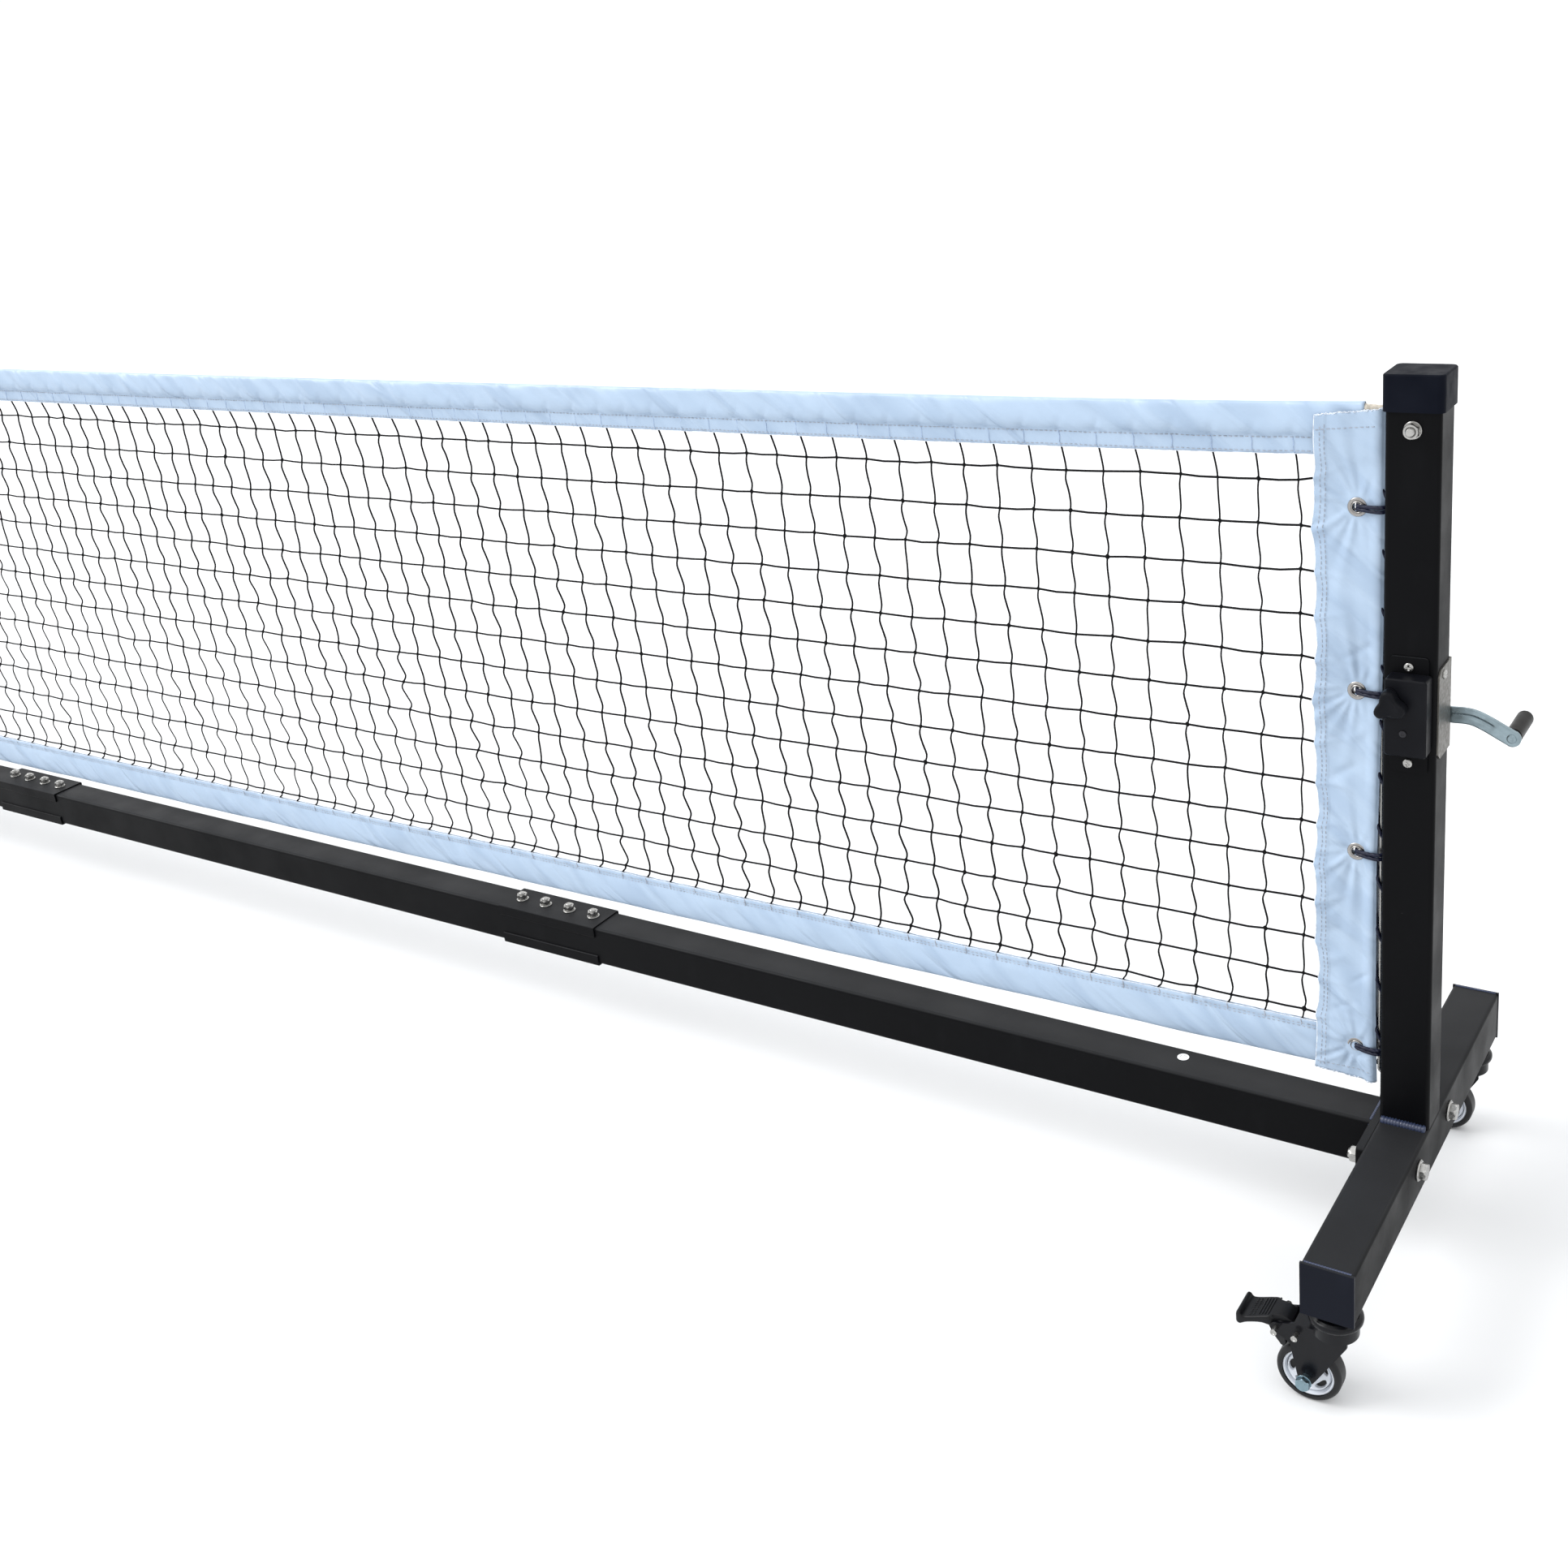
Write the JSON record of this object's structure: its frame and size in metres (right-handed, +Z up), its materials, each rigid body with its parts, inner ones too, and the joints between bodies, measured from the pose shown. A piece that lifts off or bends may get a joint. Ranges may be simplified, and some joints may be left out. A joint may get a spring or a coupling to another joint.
{
  "type": "pickleball portable net",
  "caption": "Wheeled net stand: two braced posts on castered feet joined by a bolted base beam, with a taped mesh net hung on a crank-tensioned head cable.",
  "frame": {"origin": "on the floor under the centre of the net, at the bottom centre of the bounding box", "axes": "+X along the net towards the crank post, +Y across the net away from the front, +Z up"},
  "size_m": [6.942, 0.534, 0.949],
  "materials": {
    "powder_coat": "satin black powder coat",
    "cap_plastic": "satin moulded plastic",
    "black_plastic": "moulded plastic",
    "caster_steel": "gloss black e-coat",
    "grip": "soft satin",
    "tyre": "satin",
    "rim": "light grey moulded plastic",
    "zinc": "zinc plated",
    "fastener": "bright plated",
    "stainless": "brushed",
    "winch_metal": "machined",
    "vinyl": "coated vinyl, satin",
    "twine": "black twisted twine",
    "shock_cord": "braided",
    "cable": "stranded",
    "grommet": "nickel plated"
  },
  "bodies": {
    "frame": {"beam_flange_plates": "powder_coat", "beam_section_1": "powder_coat", "beam_section_2": "powder_coat", "beam_section_3": "powder_coat", "beam_section_4": "powder_coat", "beam_section_5": "powder_coat", "bottom_tape": "vinyl", "cable_anchor": "winch_metal", "caster_stems": "caster_steel", "cross_bolts": "fastener", "foot_end_plates": "powder_coat", "foot_fasteners": "fastener", "foot_left": "powder_coat", "foot_right": "powder_coat", "grommets": "grommet", "head_cable": "cable", "lacing_bars": "fastener", "lacing_cords": "shock_cord", "net_mesh": "twine", "post_caps": "cap_plastic", "post_left": "powder_coat", "post_right": "powder_coat", "side_bands": "vinyl", "splice_channels_lower": "powder_coat", "splice_channels_upper": "powder_coat", "splice_fasteners": "fastener", "top_tape": "vinyl", "winch_bushings": "winch_metal", "winch_housing": "black_plastic", "winch_plate": "powder_coat", "winch_screws": "fastener", "winch_side_plate": "stainless"},
    "crank": {"brake_disc": "winch_metal", "cable_spool": "winch_metal", "crank_arm": "zinc", "crank_shaft": "fastener"},
    "caster_front_left": {"caster_fork_front_left": "caster_steel", "caster_pins_front_left": "fastener"},
    "caster_front_right": {"caster_fork_front_right": "caster_steel", "caster_pins_front_right": "fastener"},
    "caster_rear_left": {"caster_fork_rear_left": "caster_steel", "caster_pins_rear_left": "fastener"},
    "caster_rear_right": {"caster_fork_rear_right": "caster_steel", "caster_pins_rear_right": "fastener"},
    "brake_front_left": {"caster_pedal_front_left": "black_plastic"},
    "brake_front_right": {"caster_pedal_front_right": "black_plastic"},
    "brake_rear_left": {"caster_pedal_rear_left": "black_plastic"},
    "brake_rear_right": {"caster_pedal_rear_right": "black_plastic"},
    "wheel_front_left": {"caster_rim_front_left": "rim", "caster_tyre_front_left": "tyre"},
    "wheel_front_right": {"caster_rim_front_right": "rim", "caster_tyre_front_right": "tyre"},
    "wheel_rear_left": {"caster_rim_rear_left": "rim", "caster_tyre_rear_left": "tyre"},
    "wheel_rear_right": {"caster_rim_rear_right": "rim", "caster_tyre_rear_right": "tyre"},
    "crank_grip": {"crank_grip": "grip"},
    "head_pulley": {"head_pulley": "winch_metal"},
    "lock_knob": {"lock_knob": "black_plastic"}
  },
  "joints": [
    {"name": "crank_turn", "type": "hinge", "parent": "frame", "child": "crank", "pos_m": [3.378, 0.029, 0.6155], "axis": [0, 1, 0], "continuous": true},
    {"name": "grip_spin", "type": "hinge", "parent": "crank", "child": "crank_grip", "pos_m": [3.45998, 0.057, 0.5946], "axis": [0, 1, 0], "continuous": true},
    {"name": "pulley_spin", "type": "hinge", "parent": "frame", "child": "head_pulley", "pos_m": [3.378, 0, 0.899], "axis": [0, 1, 0], "continuous": true},
    {"name": "knob_turn", "type": "hinge", "parent": "frame", "child": "lock_knob", "pos_m": [3.368, -0.05, 0.6455], "axis": [0, 1, 0], "range_deg": [0, 270]},
    {"name": "swivel_front_right", "type": "hinge", "parent": "frame", "child": "caster_front_right", "pos_m": [3.378, -0.24, 0.1], "axis": [0, 0, 1], "continuous": true},
    {"name": "roll_front_right", "type": "hinge", "parent": "caster_front_right", "child": "wheel_front_right", "pos_m": [3.354, -0.24, 0.03175], "axis": [0, 1, 0], "continuous": true},
    {"name": "pedal_front_right", "type": "hinge", "parent": "caster_front_right", "child": "brake_front_right", "pos_m": [3.325, -0.24, 0.079], "axis": [0, -1, 0], "range_deg": [0, 16]},
    {"name": "swivel_rear_right", "type": "hinge", "parent": "frame", "child": "caster_rear_right", "pos_m": [3.378, 0.24, 0.1], "axis": [0, 0, 1], "continuous": true},
    {"name": "roll_rear_right", "type": "hinge", "parent": "caster_rear_right", "child": "wheel_rear_right", "pos_m": [3.354, 0.24, 0.03175], "axis": [0, 1, 0], "continuous": true},
    {"name": "pedal_rear_right", "type": "hinge", "parent": "caster_rear_right", "child": "brake_rear_right", "pos_m": [3.325, 0.24, 0.079], "axis": [0, -1, 0], "range_deg": [0, 16]},
    {"name": "swivel_front_left", "type": "hinge", "parent": "frame", "child": "caster_front_left", "pos_m": [-3.378, -0.24, 0.1], "axis": [0, 0, 1], "continuous": true},
    {"name": "roll_front_left", "type": "hinge", "parent": "caster_front_left", "child": "wheel_front_left", "pos_m": [-3.402, -0.24, 0.03175], "axis": [0, 1, 0], "continuous": true},
    {"name": "pedal_front_left", "type": "hinge", "parent": "caster_front_left", "child": "brake_front_left", "pos_m": [-3.431, -0.24, 0.079], "axis": [0, -1, 0], "range_deg": [0, 16]},
    {"name": "swivel_rear_left", "type": "hinge", "parent": "frame", "child": "caster_rear_left", "pos_m": [-3.378, 0.24, 0.1], "axis": [0, 0, 1], "continuous": true},
    {"name": "roll_rear_left", "type": "hinge", "parent": "caster_rear_left", "child": "wheel_rear_left", "pos_m": [-3.402, 0.24, 0.03175], "axis": [0, 1, 0], "continuous": true},
    {"name": "pedal_rear_left", "type": "hinge", "parent": "caster_rear_left", "child": "brake_rear_left", "pos_m": [-3.431, 0.24, 0.079], "axis": [0, -1, 0], "range_deg": [0, 16]}
  ],
  "couplings": [
    {"joint": "pulley_spin", "follows": "crank_turn", "ratio": 1}
  ]
}
